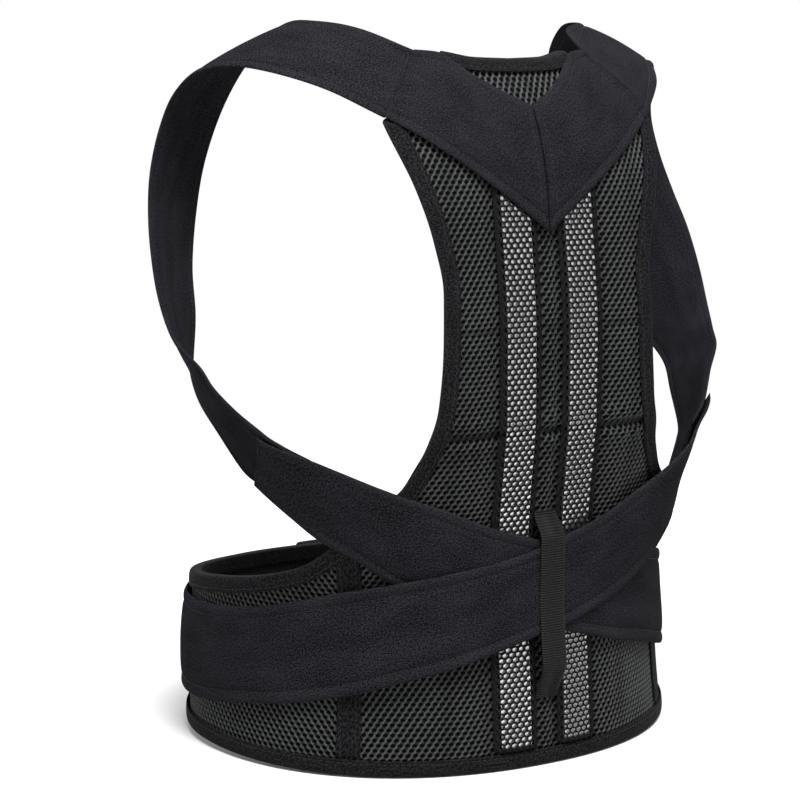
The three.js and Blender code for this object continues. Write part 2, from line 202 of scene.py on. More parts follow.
class BraceStudio(bpy.types.PropertyGroup):
    turn: number("Camera turn", "Angle round the object", math.radians(31.7), "ROTATION")
    rise: number("Camera rise", "Angle above the level", math.radians(8.7), "ROTATION")
    eye: FloatVectorProperty(name="Camera place", description="Where the camera stands", size=3,
                             default=(-.7534, -1.1686, -.0154), subtype="TRANSLATION", unit="LENGTH")
    lens: number("Lens", "Focal length in millimetres", 103.77)
    key_power: number("Key light", "Power of the key light", 120, "POWER")
    rim_power: number("Rim light", "Power of the light behind", 8, "POWER")
    sky: number("Sky", "Strength of the even light all round", 1.0)


def read(table, key, at, column):
    """A column of a table at a place between its rows, without overshoot."""
    keys, values = table[key], table[column]
    last = len(keys) - 1
    if at <= keys[0]:
        return values[0]
    if at >= keys[last]:
        return values[last]
    row = bisect_right(keys, at) - 1

    def rise(k):
        return (values[k + 1] - values[k]) / (keys[k + 1] - keys[k])

    def slope(k):
        if k in (0, last):
            return rise(min(k, last - 1))
        before, after = rise(k - 1), rise(k)
        return 0 if before * after <= 0 else 2 * before * after / (before + after)

    span = keys[row + 1] - keys[row]
    s = (at - keys[row]) / span
    start = values[row] * (1 + 2 * s) * (1 - s) ** 2 + span * slope(row) * s * (1 - s) ** 2
    return start + values[row + 1] * s * s * (3 - 2 * s) + span * slope(row + 1) * s * s * (s - 1)


def smooth(start, end, at):
    share = min(1, max(0, (at - start) / (end - start)))
    return share * share * (3 - 2 * share)


def mix(a, b, share):
    return a + (b - a) * share


def groove(at, middle, width):
    """1 on a line and 0 from width away."""
    return 1 - smooth(0, width, abs(at - middle))


def curve_place(points, share):
    """A place on a smooth curve through points, share 0 to 1."""
    at = min(max(share, 0), 1) * (len(points) - 1)
    k = min(int(at), len(points) - 2)
    t = at - k
    p1, p2 = points[k], points[k + 1]
    p0 = points[k - 1] if k else 2 * p1 - p2
    p3 = points[k + 2] if k + 2 < len(points) else 2 * p2 - p1
    return 0.5 * (2 * p1 + (p2 - p0) * t + (2 * p0 - 5 * p1 + 4 * p2 - p3) * t ** 2
                  + (3 * p1 - p0 - 3 * p2 + p3) * t ** 3)


class Form:
    """The wearer's form and the edges of the brace on it."""

    def __init__(self, sizes):
        self.sizes = sizes
        self.arcs = {}
        height = self.height = sizes.height
        self.binding_outer = sizes.panel_wall + sizes.fold_gap + sizes.binding_wall
        self.band_inner = self.binding_outer + CLOTH_GAP
        self.yoke_inner = self.band_inner
        self.yoke_outer = self.yoke_inner + sizes.cloth_wall
        self.lower_crossing = CHANNEL_OUTER + CLOTH_GAP
        self.upper_crossing = self.lower_crossing + sizes.cloth_wall + CLOTH_GAP
        self.keeper_inner = self.upper_crossing + sizes.cloth_wall + CLOTH_GAP
        self.corner_level = -height * RIM["drop"][0]

    def around(self, angle, z, lift=0.0):
        """A place round the body: angle in degrees from the middle of the back to the wearer's right."""
        sizes = self.sizes
        turn = math.radians(angle)
        drop = -z / self.height
        side = read(BODY, "drop", drop, "side") * sizes.half_width
        if math.cos(turn) > 0:
            depth = read(BODY, "drop", drop, "back") * sizes.back_depth
            power = read(BODY, "drop", drop, "square")
        else:
            depth = read(BODY, "drop", drop, "front") * sizes.front_depth
            power = 2
        shares = abs(math.sin(turn) / side) ** power + abs(math.cos(turn) / depth) ** power
        reach = shares ** (-1 / power) + lift
        return Vector((reach * math.sin(turn), sizes.axis_forward - reach * math.cos(turn), z))

    def level(self, table, angle, column="drop"):
        return -self.height * read(table, "angle", abs(angle), column)

    def band_level(self, angle, column):
        return -self.height * read(BAND, "angle", angle, column)

    def armhole(self, z):
        """The armhole's angle at a level, or the side seam's below it."""
        if z <= self.level(RIM, SEAM_ANGLE):
            return SEAM_ANGLE
        return read(RIM, "drop", -z / self.height, "angle")

    def arc(self, row):
        """Distances round the body at a row of levels, one for each degree from the middle of the back."""
        if row not in self.arcs:
            z = row * ARC_ROW
            run, before = [0.0], self.around(0, z, 3 * MM)
            for degree in range(1, ARC_DEGREES):
                here = self.around(degree, z, 3 * MM)
                run.append(run[-1] + (here - before).length)
                before = here
            self.arcs[row] = run
        return self.arcs[row]

    def angle_of(self, distance, z, origin=0):
        """The angle at a distance round the body from an angle of origin."""
        low = math.floor(z / ARC_ROW)
        found = []
        for row in (low, low + 1):
            run = self.arc(row)
            far = min(abs(distance) + run[origin], run[-1])
            k = min(bisect_right(run, far) - 1, len(run) - 2)
            found.append(k + (far - run[k]) / (run[k + 1] - run[k]))
        return math.copysign(mix(*found, z / ARC_ROW - low), distance)

    def on_back(self, x, z, lift):
        """A place at a distance from the middle of the back, measured straight across."""
        angle = math.degrees(math.atan(x / self.sizes.back_depth))
        for _ in range(4):
            place = self.around(angle, z, self.sizes.panel_wall)
            angle = math.degrees(math.atan(x / (self.sizes.axis_forward - place.y)))
        return self.around(angle, z, lift)


# Materials


def sign(operation):
    return lambda self, *others: self.math(operation, *others)


class Value:
    """A shader value that Python's own signs work on."""

    def __init__(self, tree, socket):
        self.tree, self.socket = tree, socket

    def math(self, operation, *others, first=None):
        node = self.tree.nodes.new("ShaderNodeMath")
        node.operation = operation
        for socket, value in zip(node.inputs, (self if first is None else first, *others)):
            feed(self.tree, socket, value)
        return Value(self.tree, node.outputs[0])

    __add__, __sub__, __mul__, __pow__ = (sign(name) for name in ("ADD", "SUBTRACT", "MULTIPLY", "POWER"))
    sine, cosine = sign("SINE"), sign("COSINE")

    def __rsub__(self, other):
        return self.math("SUBTRACT", self, first=other)

    def held(self):
        """Kept between 0 and 1."""
        return self.math("MINIMUM", 1).math("MAXIMUM", 0)


def feed(tree, socket, value):
    if isinstance(value, Value):
        tree.links.new(value.socket, socket)
    elif isinstance(value, bpy.types.NodeSocket):
        tree.links.new(value, socket)
    elif socket.type == "RGBA":
        socket.default_value = (*value[:3], 1)
    else:
        socket.default_value = value


class Finish:
    """A procedural material."""

    def __init__(self, name, roughness, specular):
        self.material = bpy.data.materials.new("brace_" + name)
        self.material.use_nodes = True
        self.tree = self.material.node_tree
        self.surface = next(n for n in self.tree.nodes if n.type == "BSDF_PRINCIPLED")
        self.set("Roughness", roughness)
        self.set("Specular IOR Level", specular)

    def set(self, socket, value):
        feed(self.tree, self.surface.inputs[socket], value)

    def node(self, kind, settings=None, **values):
        made = self.tree.nodes.new("ShaderNode" + kind)
        for key, value in (settings or {}).items():
            setattr(made, key, value)
        for key, value in values.items():
            feed(self.tree, made.inputs[key.replace("_", " ")], value)
        return made

    def out(self, node, socket=0):
        return Value(self.tree, node.outputs[socket])

    def cloth_place(self):
        """The piece's UV map, which is in metres on the cloth."""
        return self.node("UVMap", {"uv_map": "Cloth"}).outputs["UV"]

    def solid_place(self):
        return self.node("TexCoord").outputs["Object"]

    def split(self, vector):
        parts = self.node("SeparateXYZ", Vector=vector)
        return self.out(parts, "X"), self.out(parts, "Y")

    def stretch(self, vector, scale):
        return self.node("Mapping", Vector=vector, Scale=scale).outputs[0]

    def noise(self, vector, scale, detail=2.0, roughness=.5):
        made = self.node("TexNoise", Vector=vector, Scale=scale, Detail=detail, Roughness=roughness)
        return self.out(made, "Fac")

    def attribute(self, name):
        return self.out(self.node("Attribute", {"attribute_name": name}), "Fac")

    def blend(self, share, a, b):
        made = self.tree.nodes.new("ShaderNodeMix")
        made.data_type = "RGBA"
        feed(self.tree, made.inputs["Factor"], share)
        feed(self.tree, made.inputs[6], a)
        feed(self.tree, made.inputs[7], b)
        return made.outputs[2]

    def paint(self, share, dark, light):
        self.set("Base Color", self.blend(share, dark, light))

    def bump(self, height, distance, strength):
        made = self.node("Bump", Height=height, Distance=distance, Strength=strength)
        self.set("Normal", made.outputs[0])


def scaled(tone, share):
    return [share * c for c in tone]


def velour_finish(finish, place, colours):
    grain = finish.noise(place, 1500, 1, .5)
    loops = finish.noise(finish.stretch(place, (1, 1.3, 1)), 880, 2, .6)
    nap = finish.noise(finish.stretch(place, (1, 2.2, 1)), 40, 3, .55)
    # edge lightens the hem band and carries painted shade at the yoke's shoulder seam and the strap's end
    edge = finish.attribute("edge")
    nap_hem_and_shade = ((grain - .5) * 3.2 + (loops - .5) * 2.4 + (nap - .5) * .8 + edge * .12 + .42).held()
    finish.paint(nap_hem_and_shade, colours.velour, colours.velour_light)
    finish.bump(grain * .6 + loops * .8, .0005, .7)


def ribs_that_lean(finish, place):
    """0 at the holes' middles and 1 on the ribs that lean one way."""
    across, up = finish.split(place)
    sizes = bpy.context.scene.brace_sizes
    phase = across * (math.tau / sizes.hole_across) - up * (math.pi / sizes.hole_up) - math.pi / 2
    return .5 - phase.cosine() * .5


def mesh_finish(finish, place, colours):
    lean = ribs_that_lean(finish, place)
    across, up = finish.split(place)
    yarn = (across * 3900 + up * 2800).sine() * .5 + .5
    grain = finish.noise(place, 900, 2, .65)
    patch = finish.noise(place, 28, 3, .6)
    light = (lean ** 1.5 * .85 + yarn * .1 + (grain - .5) * 1.3 + (patch - .5) * .6 + .02).held()
    # Painted shade: the edge attribute darkens the threads along seams and valleys toward mesh_shade
    light = light * (1 - finish.attribute("edge") * .85)
    finish.paint(light, colours.mesh_shade, colours.mesh_rib)
    finish.bump(yarn * .5 + grain, .0004, .8)


def net_finish(finish, place, colours):
    """The thin open net over the stays."""
    grain = finish.noise(place, 900, 2, .65)
    light = (ribs_that_lean(finish, place) * .5 + (grain - .4) * 1.1).held()
    # Painted shade: the edge attribute darkens the net along the seams
    light = light * (1 - finish.attribute("edge") * .8)
    finish.paint(light, colours.net_shade, colours.net)
    finish.bump(grain, .0003, .8)


# Painted shade in the mesh's holes, near black with a little grain
def hole_shade_finish(finish, place, colours):
    grain = finish.noise(place, 900, 2, .6)
    finish.paint(grain, colours.hole_shade_and_dark_knit, scaled(colours.hole_shade_and_dark_knit, 2.2))


def lining_finish(finish, place, colours):
    across, _ = finish.split(place)
    wales = (across * 2600).sine() * .5 + .5
    grain = finish.noise(place, 900, 2, .6)
    light = (wales * .35 + (grain - .5) * 2 + .3).held()
    finish.paint(light, colours.hole_shade_and_dark_knit, colours.lining)
    finish.bump(wales * .5 + grain, .0003, .7)


def binding_finish(finish, place, colours):
    along, across = finish.split(place)
    twill = (along * 5200 + across * 5200).sine() * .5 + .5
    grain = finish.noise(place, 760, 2, .6)
    worn = finish.noise(finish.stretch(place, (1, 3, 1)), 60, 3, .6)
    # fold holds painted shade on the tape's inner face and lighter colour along its fold
    fold = finish.attribute("edge")
    light = (twill * .2 + (grain - .5) * 5.5 + (worn - .45) * .9 + fold * .35 + .25).held()
    finish.paint(light, scaled(colours.binding, .3), scaled(colours.binding, 2.2))
    finish.bump(twill * .5 + grain, .0004, .8)


def webbing_finish(finish, place, colours):
    across, along = finish.split(place)
    ribs = (along * 4010 + (across * 740).sine() * .9).sine() * .5 + .5
    grain = finish.noise(place, 1600, 2, .6)
    light = (ribs * .6 + (grain - .5) * 2.4 + .05).held()
    finish.paint(light, scaled(colours.webbing, .35), scaled(colours.webbing, 2.4))
    finish.set("Roughness", (.7 - ribs * .2).held())
    finish.bump(ribs + grain * .3, .0004, .9)


def thread_finish(finish, place, colours):
    finish.paint(finish.noise(place, 400, 1), scaled(colours.thread, .6), scaled(colours.thread, 1.5))


def aluminium_finish(finish, place, colours):
    finish.set("Metallic", 1.0)
    streaks = finish.noise(finish.stretch(place, (900, 900, 14)), 1, 3, .6)
    dull = finish.noise(place, 60, 3, .6)
    finish.paint(dull, scaled(colours.aluminium, .86), colours.aluminium)
    finish.set("Roughness", (streaks * .18 + dull * .1 + .26).held())
    finish.bump(streaks, .00008, .5)


def floor_finish(finish, place, colours):
    finish.paint(finish.noise(place, 3, 2), scaled(colours.floor, .99), colours.floor)


# What paints each finish, its roughness and its specular share
FINISHES = {
    "velour": (velour_finish, .96, .012),
    "spacer_mesh": (mesh_finish, .8, .03),
    "stay_net": (net_finish, .85, .03),
    "spacer_mesh_hole_shade": (hole_shade_finish, .95, .01),
    "lining": (lining_finish, .96, .01),
    "binding": (binding_finish, .85, .05),
    "webbing": (webbing_finish, .65, .12),
    "thread": (thread_finish, .6, .12),
    "aluminium": (aluminium_finish, .34, .5),
    "floor": (floor_finish, .85, .1),
}
SOLID = ("thread", "aluminium", "floor")


def finish_named(context, name):
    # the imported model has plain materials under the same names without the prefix
    if "brace_" + name not in bpy.data.materials:
        painter, roughness, specular = FINISHES[name]
        finish = Finish(name, roughness, specular)
        place = finish.solid_place() if name in SOLID else finish.cloth_place()
        painter(finish, place, context.scene.brace_colours)
    return bpy.data.materials["brace_" + name]


# Meshes


def face_outward(bm):
    bmesh.ops.recalc_face_normals(bm, faces=bm.faces[:])


def flat_grid(columns, rows, *more):
    """A flat grid with its UV map, its layer edge and more, and the column and row of each corner."""
    bm = bmesh.new()
    bmesh.ops.create_grid(bm, x_segments=columns, y_segments=rows, size=1)
    uv_map = bm.loops.layers.uv.new("Cloth")
    layers = [bm.verts.layers.float.new(name) for name in ("edge", *more)]
    spot = {v: (round((v.co.x + 1) / 2 * columns), round((v.co.y + 1) / 2 * rows)) for v in bm.verts}
    return bm, uv_map, layers, spot


def extrude_all(bm):
    """Extrudes every face and keeps the first ones; the new corners and the new faces."""
    grown = bmesh.ops.extrude_face_region(bm, geom=bm.faces[:], use_keep_orig=True)["geom"]
    return [[g for g in grown if isinstance(g, kind)] for kind in (bmesh.types.BMVert, bmesh.types.BMFace)]


def inset_holes(bm, faces, rib, depth):
    bmesh.ops.inset_individual(bm, faces=faces, thickness=rib, depth=depth, use_even_offset=True,
                               use_interpolate=True)


def grid_shell(stations_u, stations_v, place, span, mark):
    """A closed cloth shell over stations. place(u, v, w) has w 0 inside and 1 outside.

    span is the cloth's length and width in the UV map, and mark(u, v) goes to the attribute "edge", which
    carries hem marks and painted shade.
    """
    bm, uv_map, [edge_and_shade_layer], spot = flat_grid(len(stations_u) - 1, len(stations_v) - 1)
    spot = {vert: (stations_u[i], stations_v[j]) for vert, (i, j) in spot.items()}
    for face in bm.faces:
        for loop in face.loops:
            u, v = spot[loop.vert]
            loop[uv_map].uv = (u * span[0], v * span[1])
    lower = {tuple(vert.co): at for vert, at in spot.items()}
    for vert in extrude_all(bm)[0]:
        u, v = lower[tuple(vert.co)]
        vert[edge_and_shade_layer] = mark(u, v)
        vert.co = place(u, v, 1)
    for vert, (u, v) in spot.items():
        vert[edge_and_shade_layer] = mark(u, v)
        vert.co = place(u, v, 0)
    face_outward(bm)
    return bm


def strip_shell(profile, steps, place, across):
    """A closed strip of one cross-section. profile holds (a, b) places, and place(a, b, t) bends it."""
    corners = len(profile)
    bm, uv_map, [edge_and_shade_layer], spot = flat_grid(steps, corners)
    run = [0.0]
    for k in range(corners):
        a, b = profile[k], profile[(k + 1) % corners]
        run.append(run[-1] + math.dist(a, b))
    for face in bm.faces:
        for loop in face.loops:
            i, j = spot[loop.vert]
            loop[uv_map].uv = (i / steps * across, run[j])
    lowest = min(a for a, _ in profile)
    # Painted shade on the tape's inner face, and lighter colour along its fold
    painted_shade_inside, light_fold = -1.3, lowest + 1.2 * MM
    for vert, (i, j) in spot.items():
        a, b = profile[j % corners]
        vert[edge_and_shade_layer] = painted_shade_inside if b < 0 else int(a < light_fold)
        vert.co = place(a, b, i / steps)
    bmesh.ops.remove_doubles(bm, verts=bm.verts[:], dist=1e-6)
    ends = [e for e in bm.edges if e.is_boundary]
    bmesh.ops.holes_fill(bm, edges=ends, sides=0)
    face_outward(bm)
    return bm


def make_object(context, name, bm, finishes):
    mesh = bpy.data.meshes.new(name)
    bm.to_mesh(mesh)
    bm.free()
    made = bpy.data.objects.new(name, mesh)
    context.scene.collection.objects.link(made)
    for finish in finishes:
        mesh.materials.append(finish_named(context, finish))
    return made


def make_piece(context, name, bm, finishes, nodes=(), levels=1):
    piece = make_object(context, name, bm, finishes)
    piece.data.shade_smooth()
    if levels:
        rounding = piece.modifiers.new("Rounding", "SUBSURF")
        rounding.levels = rounding.render_levels = levels
    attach(piece, "root")
    if nodes:
        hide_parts(*nodes)
    return piece


def hex_cloth(sizes, low, high, settle, inner, shade, quiet=lambda distance, level: False):
    """The lower face of mesh cloth between two corners, (distance, level) each, with a face for each hole.

    settle(distance, level) gives the angle, or the distance on a channel, and the level that a place gets
    on the cloth, kept inside its outline. inner takes these two and gives the place. shade(distance, level)
    is 1 where painted shade darkens the cloth along its seams and valleys, and quiet(distance, level) is
    True where the cloth has no holes.
    """
    half = sizes.hole_across / 2
    columns = math.ceil((high[0] - low[0]) / half)
    rows = math.ceil((high[1] - low[1]) / sizes.hole_up)
    zigzag = .17 * sizes.hole_up
    bm, uv_map, [seam, angle_layer, level_layer], spot = flat_grid(columns, rows, "angle", "level")
    whole = bm.faces.layers.int.new("whole")
    joints = []
    for line in bm.edges:
        (i, j), (k, m) = spot[line.verts[0]], spot[line.verts[1]]
        if i == k and 0 < i < columns and (i + min(j, m)) % 2:
            joints.append(line)
    flat, settled = {}, {}
    for vert, (i, j) in spot.items():
        up = zigzag if (i + j) % 2 == 0 else -zigzag
        flat[vert] = (low[0] + i * half, low[1] + j * sizes.hole_up + (up if 0 < j < rows else 0))
        angle, level = settle(*flat[vert])
        kept = abs(level - flat[vert][1]) < 1e-7 and settle(flat[vert][0] * 1.0001, level)[0] != angle
        settled[vert] = (angle, level, kept)
    bmesh.ops.dissolve_edges(bm, edges=joints, use_verts=False)
    for face in bm.faces:
        for loop in face.loops:
            loop[uv_map].uv = (flat[loop.vert][0] - low[0], flat[loop.vert][1] - low[1])
        at = [sum(flat[v][k] for v in face.verts) / len(face.verts) for k in (0, 1)]
        face[whole] = int(len(face.verts) == 6 and all(settled[v][2] for v in face.verts) and not quiet(*at))
    for vert in bm.verts:
        angle, level, _ = settled[vert]
        vert[angle_layer], vert[level_layer] = angle, level
        # the layer carries painted shade along the seams and valleys
        vert[seam] = shade(*flat[vert])
        vert.co = inner(angle, level)
    bmesh.ops.remove_doubles(bm, verts=bm.verts[:], dist=1.2e-4)
    bmesh.ops.dissolve_degenerate(bm, dist=1e-5, edges=bm.edges[:])
    return bm, whole, angle_layer, level_layer


def thicken_hex(bm, whole, angle_layer, level_layer, outer, rib, depth):
    """Gives a flat mesh cloth its outer face, sinks its holes and lines it."""
    lining = bm.faces[:]
    corners, faces = extrude_all(bm)
    tops = [face for face in faces if face[whole]]
    for vert in corners:
        vert.co = outer(vert[angle_layer], vert[level_layer])
    face_outward(bm)
    inset_holes(bm, tops, rib / 2, -depth)
    # The sunk hole floors take the painted shade material
    for face in tops:
        face.material_index = 1
    for face in lining:
        face.material_index = 2


def binding_shell(form, route, steps, inward, long_way, wall, share=1):
    """A tape over an edge, share of the full width wide. route(t) gives its angle, level and layer."""
    sizes = form.sizes
    fold = -sizes.fold_gap - sizes.binding_wall
    outside = wall + sizes.fold_gap
    width, tape, gap = sizes.binding_width * share, sizes.binding_wall, sizes.fold_gap
    soft = .35 * tape
    # the tape's section, each place as its distances inward from the edge and outward from the body
    profile = [(fold + 1.2 * soft, fold - .1 * soft), (.35 * width, fold - .3 * soft), (width - soft, fold),
               (width, fold + soft), (width, -gap - soft * .2), (.5 * width, -gap), (-gap, -gap),
               (-gap, outside), (.5 * width, outside), (width, outside + .1 * soft),
               (width, outside + tape - soft), (width - soft, outside + tape),
               (width - 1.8 * MM, outside + tape + .15 * MM),
               (width - 2.2 * MM, outside + tape - .22 * MM), (width - 2.6 * MM, outside + tape + .15 * MM),
               (.35 * width, outside + tape + .25 * MM), (fold + 1.6 * MM, outside + tape + .1 * MM),
               (fold + .3 * MM, outside + tape - .5 * MM), (fold - .25 * MM, outside - .3 * MM),
               (fold - .3 * MM, .5 * outside), (fold - .25 * MM, .2 * MM), (fold + .1 * MM, fold + .7 * soft)]
    nudge = .5 / steps

    def place(a, b, t):
        here, before, after = route(t), route(max(0, t - nudge)), route(min(1, t + nudge))
        spot = form.around(here[0], here[1])
        degree = math.radians(1) * math.hypot(spot.x, spot.y - sizes.axis_forward)
        run = Vector(((after[0] - before[0]) * degree, after[1] - before[1])).normalized()
        return form.around(here[0] - run.y * a * inward / degree, here[1] + run.x * a * inward, here[2] + b)

    return strip_shell(profile, steps, place, long_way), place, outside + tape


def add_stitches(threads, path, sizes):
    """Sews one row along path(t), which gives a place and the cloth's outward direction."""
    spots = [path(k / SEWN_STEPS) for k in range(SEWN_STEPS + 1)]
    run = [0.0]
    for (a, _), (b, _) in zip(spots, spots[1:]):
        run.append(run[-1] + (b - a).length)
    count = max(1, int(run[-1] / sizes.stitch))
    size = Matrix.Diagonal((sizes.stitch * .4, sizes.thread * .5, sizes.thread * .42, 1))
    for first in range(0, count, SEWN_AT_ONCE):
        few = bmesh.new()
        for k in range(first, min(count, first + SEWN_AT_ONCE)):
            at = (k + .5) * run[-1] / count
            i = min(bisect_right(run, at) - 1, SEWN_STEPS - 1)
            share = (at - run[i]) / max(1e-9, run[i + 1] - run[i])
            along = (spots[i + 1][0] - spots[i][0]).normalized()
            cross = spots[i][1].cross(along).normalized()
            turn = Matrix((along, cross, along.cross(cross))).transposed().to_4x4()
            spot = Matrix.Translation(spots[i][0].lerp(spots[i + 1][0], share))
            bmesh.ops.create_uvsphere(few, u_segments=6, v_segments=4, radius=1, matrix=spot @ turn @ size)
        sewn = bpy.data.meshes.new("sewn")
        few.to_mesh(sewn)
        few.free()
        threads.from_mesh(sewn)
        bpy.data.meshes.remove(sewn)


def sew_rows(threads, sizes, place, rows, low, high):
    """Sews cloth placed by place(u, v, w), at each share v of rows, from u of low to high."""
    for v in rows:
        def path(t):
            u = mix(low, high, t)
            return place(u, v, THREAD_ABOVE), place(u, v, 1) - place(u, v, 0)
        add_stitches(threads, path, sizes)


def stations(count, *extra):
    """Even shares with extra ones among them."""
    marks = [k / count for k in range(count + 1)]
    keep = [m for m in marks if m in (0, 1) or all(abs(m - e) > .3 / count for e in extra)]
    return sorted(set(keep) | set(extra))


class Velour:
    """Velour of one width, hemmed on both sides; v is the share across it."""

    def __init__(self, sizes, width):
        self.width, self.inset = width, sizes.hem_inset
        self.seams = self.inset / width, 1 - self.inset / width

    def rows(self):
        """Rounded edges, a groove for the stitches and a plain middle."""
        width, line = self.width, self.seams[0]
        half = .0011 / width
        edge = (.0004 / width, .0016 / width)
        near = [0, *edge, line - 2.2 * half, line - half, line, line + half, line + 2.4 * half]
        middle = [mix(near[-1], 1 - near[-1], k / 6) for k in range(1, 6)]
        return near + middle + [1 - n for n in reversed(near)]

    def relief(self, v):
        """How far the outer face stands, from 0 at the edge."""
        edge = min(v, 1 - v) * self.width
        rounding = -.0009 * (1 - smooth(0, .0016, edge))
        seam = -.0009 * groove(edge, self.inset, .0017)
        puff = .00035 * smooth(self.inset, self.inset + .008, edge)
        return rounding + seam + puff

    def hem(self, u, v):
        """1 on the hem and 0 inside its stitches."""
        return 1 - smooth(self.inset * .7, self.inset * 1.1, min(v, 1 - v) * self.width)


# Operators


def sizes_and_form(context):
    sizes = context.scene.brace_sizes
    return sizes, Form(sizes)


class BRACE_OT_back_panel(bpy.types.Operator):
    """Spacer mesh of the back, quilted beside the stays and across the waist."""

    bl_idname = "brace.back_panel"
    bl_label = "Back Panel"

    def execute(self, context):
        sizes, form = sizes_and_form(context)
        def settle(distance, level):
            angle = form.angle_of(distance, level)
            top = form.level(SCOOP, angle) if abs(angle) < RIM_CORNER else form.corner_level
            level = min(max(level, form.level(HEM, angle)), top)
            limit = form.armhole(level) - .3
            if level > form.corner_level:
                limit = min(limit, mix(RIM_CORNER, SCOOP_CORNER, (level - form.corner_level) / .033))
            angle = form.angle_of(distance, level)
            return max(-limit, min(limit, angle)), level

        def lift(angle, level):
            spot = form.around(angle, level, sizes.panel_wall)
            beside = abs(abs(spot.x) - sizes.stay_offset)
            groove_depth = .0014 * groove(beside, STAY_SEAM, .003) * smooth(-.085, -.12, level)
            across = .0026 * groove(level, WAIST_SEAM, .0042) + .0005 * groove(level, BACK_SEAM, .003)
            pucker = .0007 * groove(abs(level - WAIST_SEAM), .007, .005) * (1 + math.sin(spot.x * 620))
            puff = .0012 * smooth(.017, .03, beside) * (1 - smooth(.03, .06, beside))
            return sizes.panel_wall - groove_depth - across + pucker + puff

        # Painted shade in the grooves of the waist, back and stay seams, and in soft valleys further out
        def shade(distance, level):
            waist = groove(level, WAIST_SEAM, .0024)
            beside = abs(abs(distance) - sizes.stay_offset)
            return max(waist, .6 * groove(level, BACK_SEAM, .002), .45 * groove(beside, STAY_SEAM, .004),
                       .3 * groove(beside, .041, .008))

        bm, *layers = hex_cloth(sizes, *PANEL_MESH, settle, form.around, shade)
        thicken_hex(bm, *layers, lambda angle, level: form.around(angle, level, lift(angle, level)),
                    sizes.rib, .001)
        piece = make_piece(context, "panel_cloth", bm, MESH_CLOTH, ("back_panel",), levels=0)
        return {"FINISHED"}


def wing_lift(angle, side):
    """How far the right wing rises over the left one in front."""
    return smooth(BAND_END + 2, WING_CROSSED, angle) * CROSSED_WING if side > 0 else 0


class BRACE_OT_belt_wings(bpy.types.Operator):
    """Spacer mesh of the belt, which overlaps in front."""

    bl_idname = "brace.belt_wings"
    bl_label = "Belt Wings"

    def execute(self, context):
        sizes, form = sizes_and_form(context)
        for name, side in SIDES:
            def settle(distance, level):
                for _ in range(2):
                    angle = form.angle_of(max(0, distance), level, SEAM_ANGLE)
                    level = min(max(level, form.level(HEM, angle)), form.level(RIM, angle))
                return max(SEAM_ANGLE + .15, min(FRONT_END, angle)), level

            def inner(angle, level):
                return form.around(side * angle, level, wing_lift(angle, side))

            def outer(angle, level):
                return form.around(side * angle, level, wing_lift(angle, side) + sizes.wing_wall)

            bm, *layers = hex_cloth(sizes, *WING_MESH, settle, inner, lambda distance, level: 0)
            thicken_hex(bm, *layers, outer, sizes.rib, .0009)
            piece = make_piece(context, f"wing_cloth_{name}", bm, MESH_CLOTH,
                               (f"belt_wing_{name}",), levels=0)
        return {"FINISHED"}


class BRACE_OT_bindings(bpy.types.Operator):
    """Tapes folded over the hem, the rim and the neck, and over the side seams."""

    bl_idname = "brace.bindings"
    bl_label = "Bindings"

    def execute(self, context):
        sizes, form = sizes_and_form(context)
        threads = bmesh.new()

        def sew(place, outer, share=1):
            inset = sizes.binding_width * share - TAPE_STITCH

            def path(t):
                spot = place(inset, outer - .00005, t)
                return spot, spot - place(inset, 0, t)
            add_stitches(threads, path, sizes)

        def hem_route(t):
            angle = FRONT_END * (2 * t - 1)
            return angle, form.level(HEM, angle), wing_lift(abs(angle), math.copysign(1, angle))

        bm, place, outer = binding_shell(form, hem_route, 190, 1, .95, sizes.panel_wall)
        piece = make_piece(context, "hem_tape", bm, ("binding",),
                           ("hem_binding_left", "hem_binding_right"))
        sew(place, outer)

        for name, side in SIDES:
            def rim_route(t):
                if t < .5:
                    level = mix(form.corner_level - .6 * MM, form.level(RIM, SEAM_ANGLE), 2 * t)
                    return side * form.armhole(level), level, 0
                angle = mix(SEAM_ANGLE, FRONT_END, 2 * t - 1)
                return side * angle, form.level(RIM, angle), wing_lift(angle, side)

            bm, place, outer = binding_shell(form, rim_route, 140, -side, .6, sizes.panel_wall)
            piece = make_piece(context, f"rim_tape_{name}", bm, ("binding",),
                               (f"rim_binding_{name}",))
            sew(place, outer)

            def tape(u, v, w):
                inset = sizes.binding_width + .6 * MM
                half = math.degrees(SIDE_TAPE / 2 / (.742 * sizes.half_width))
                angle = SEAM_ANGLE + (2 * u - 1) * half
                low = form.level(HEM, SEAM_ANGLE) + inset
                high = form.level(RIM, angle) - inset
                edge = min(u, 1 - u) * SIDE_TAPE
                relief = -.0004 * (1 - smooth(0, .001, edge)) - .0003 * groove(edge, .0025, .001)
                lift = sizes.panel_wall + .5 * MM + w * (sizes.binding_wall + relief)
                return form.around(side * angle, mix(low, high, v), lift)

            columns = [0, .03, .1, .14, .18, .22, .3, .5, .7, .78, .82, .86, .9, .97, 1]
            bm = grid_shell(columns, stations(18), tape, (SIDE_TAPE, .075), lambda u, v: 0)
            piece = make_piece(context, f"side_tape_cloth_{name}", bm, ("binding",),
                               (f"side_tape_{name}",))
            for u in (.18, .82):
                add_stitches(threads, lambda t: (tape(u, t, 1.05), tape(u, t, 1) - tape(u, t, 0)), sizes)

        def neck_route(t):
            angle = (2 * t - 1) * NECK_END
            return angle, form.level(SCOOP, angle), 0

        bm, place, outer = binding_shell(form, neck_route, 60, -1, .16, sizes.panel_wall, NECK_SHARE)
        piece = make_piece(context, "neck_tape", bm, ("binding",), ("neck_binding",))
        sew(place, outer, NECK_SHARE)
        make_piece(context, "binding_stitches", threads, ("thread",), levels=0)
        return {"FINISHED"}


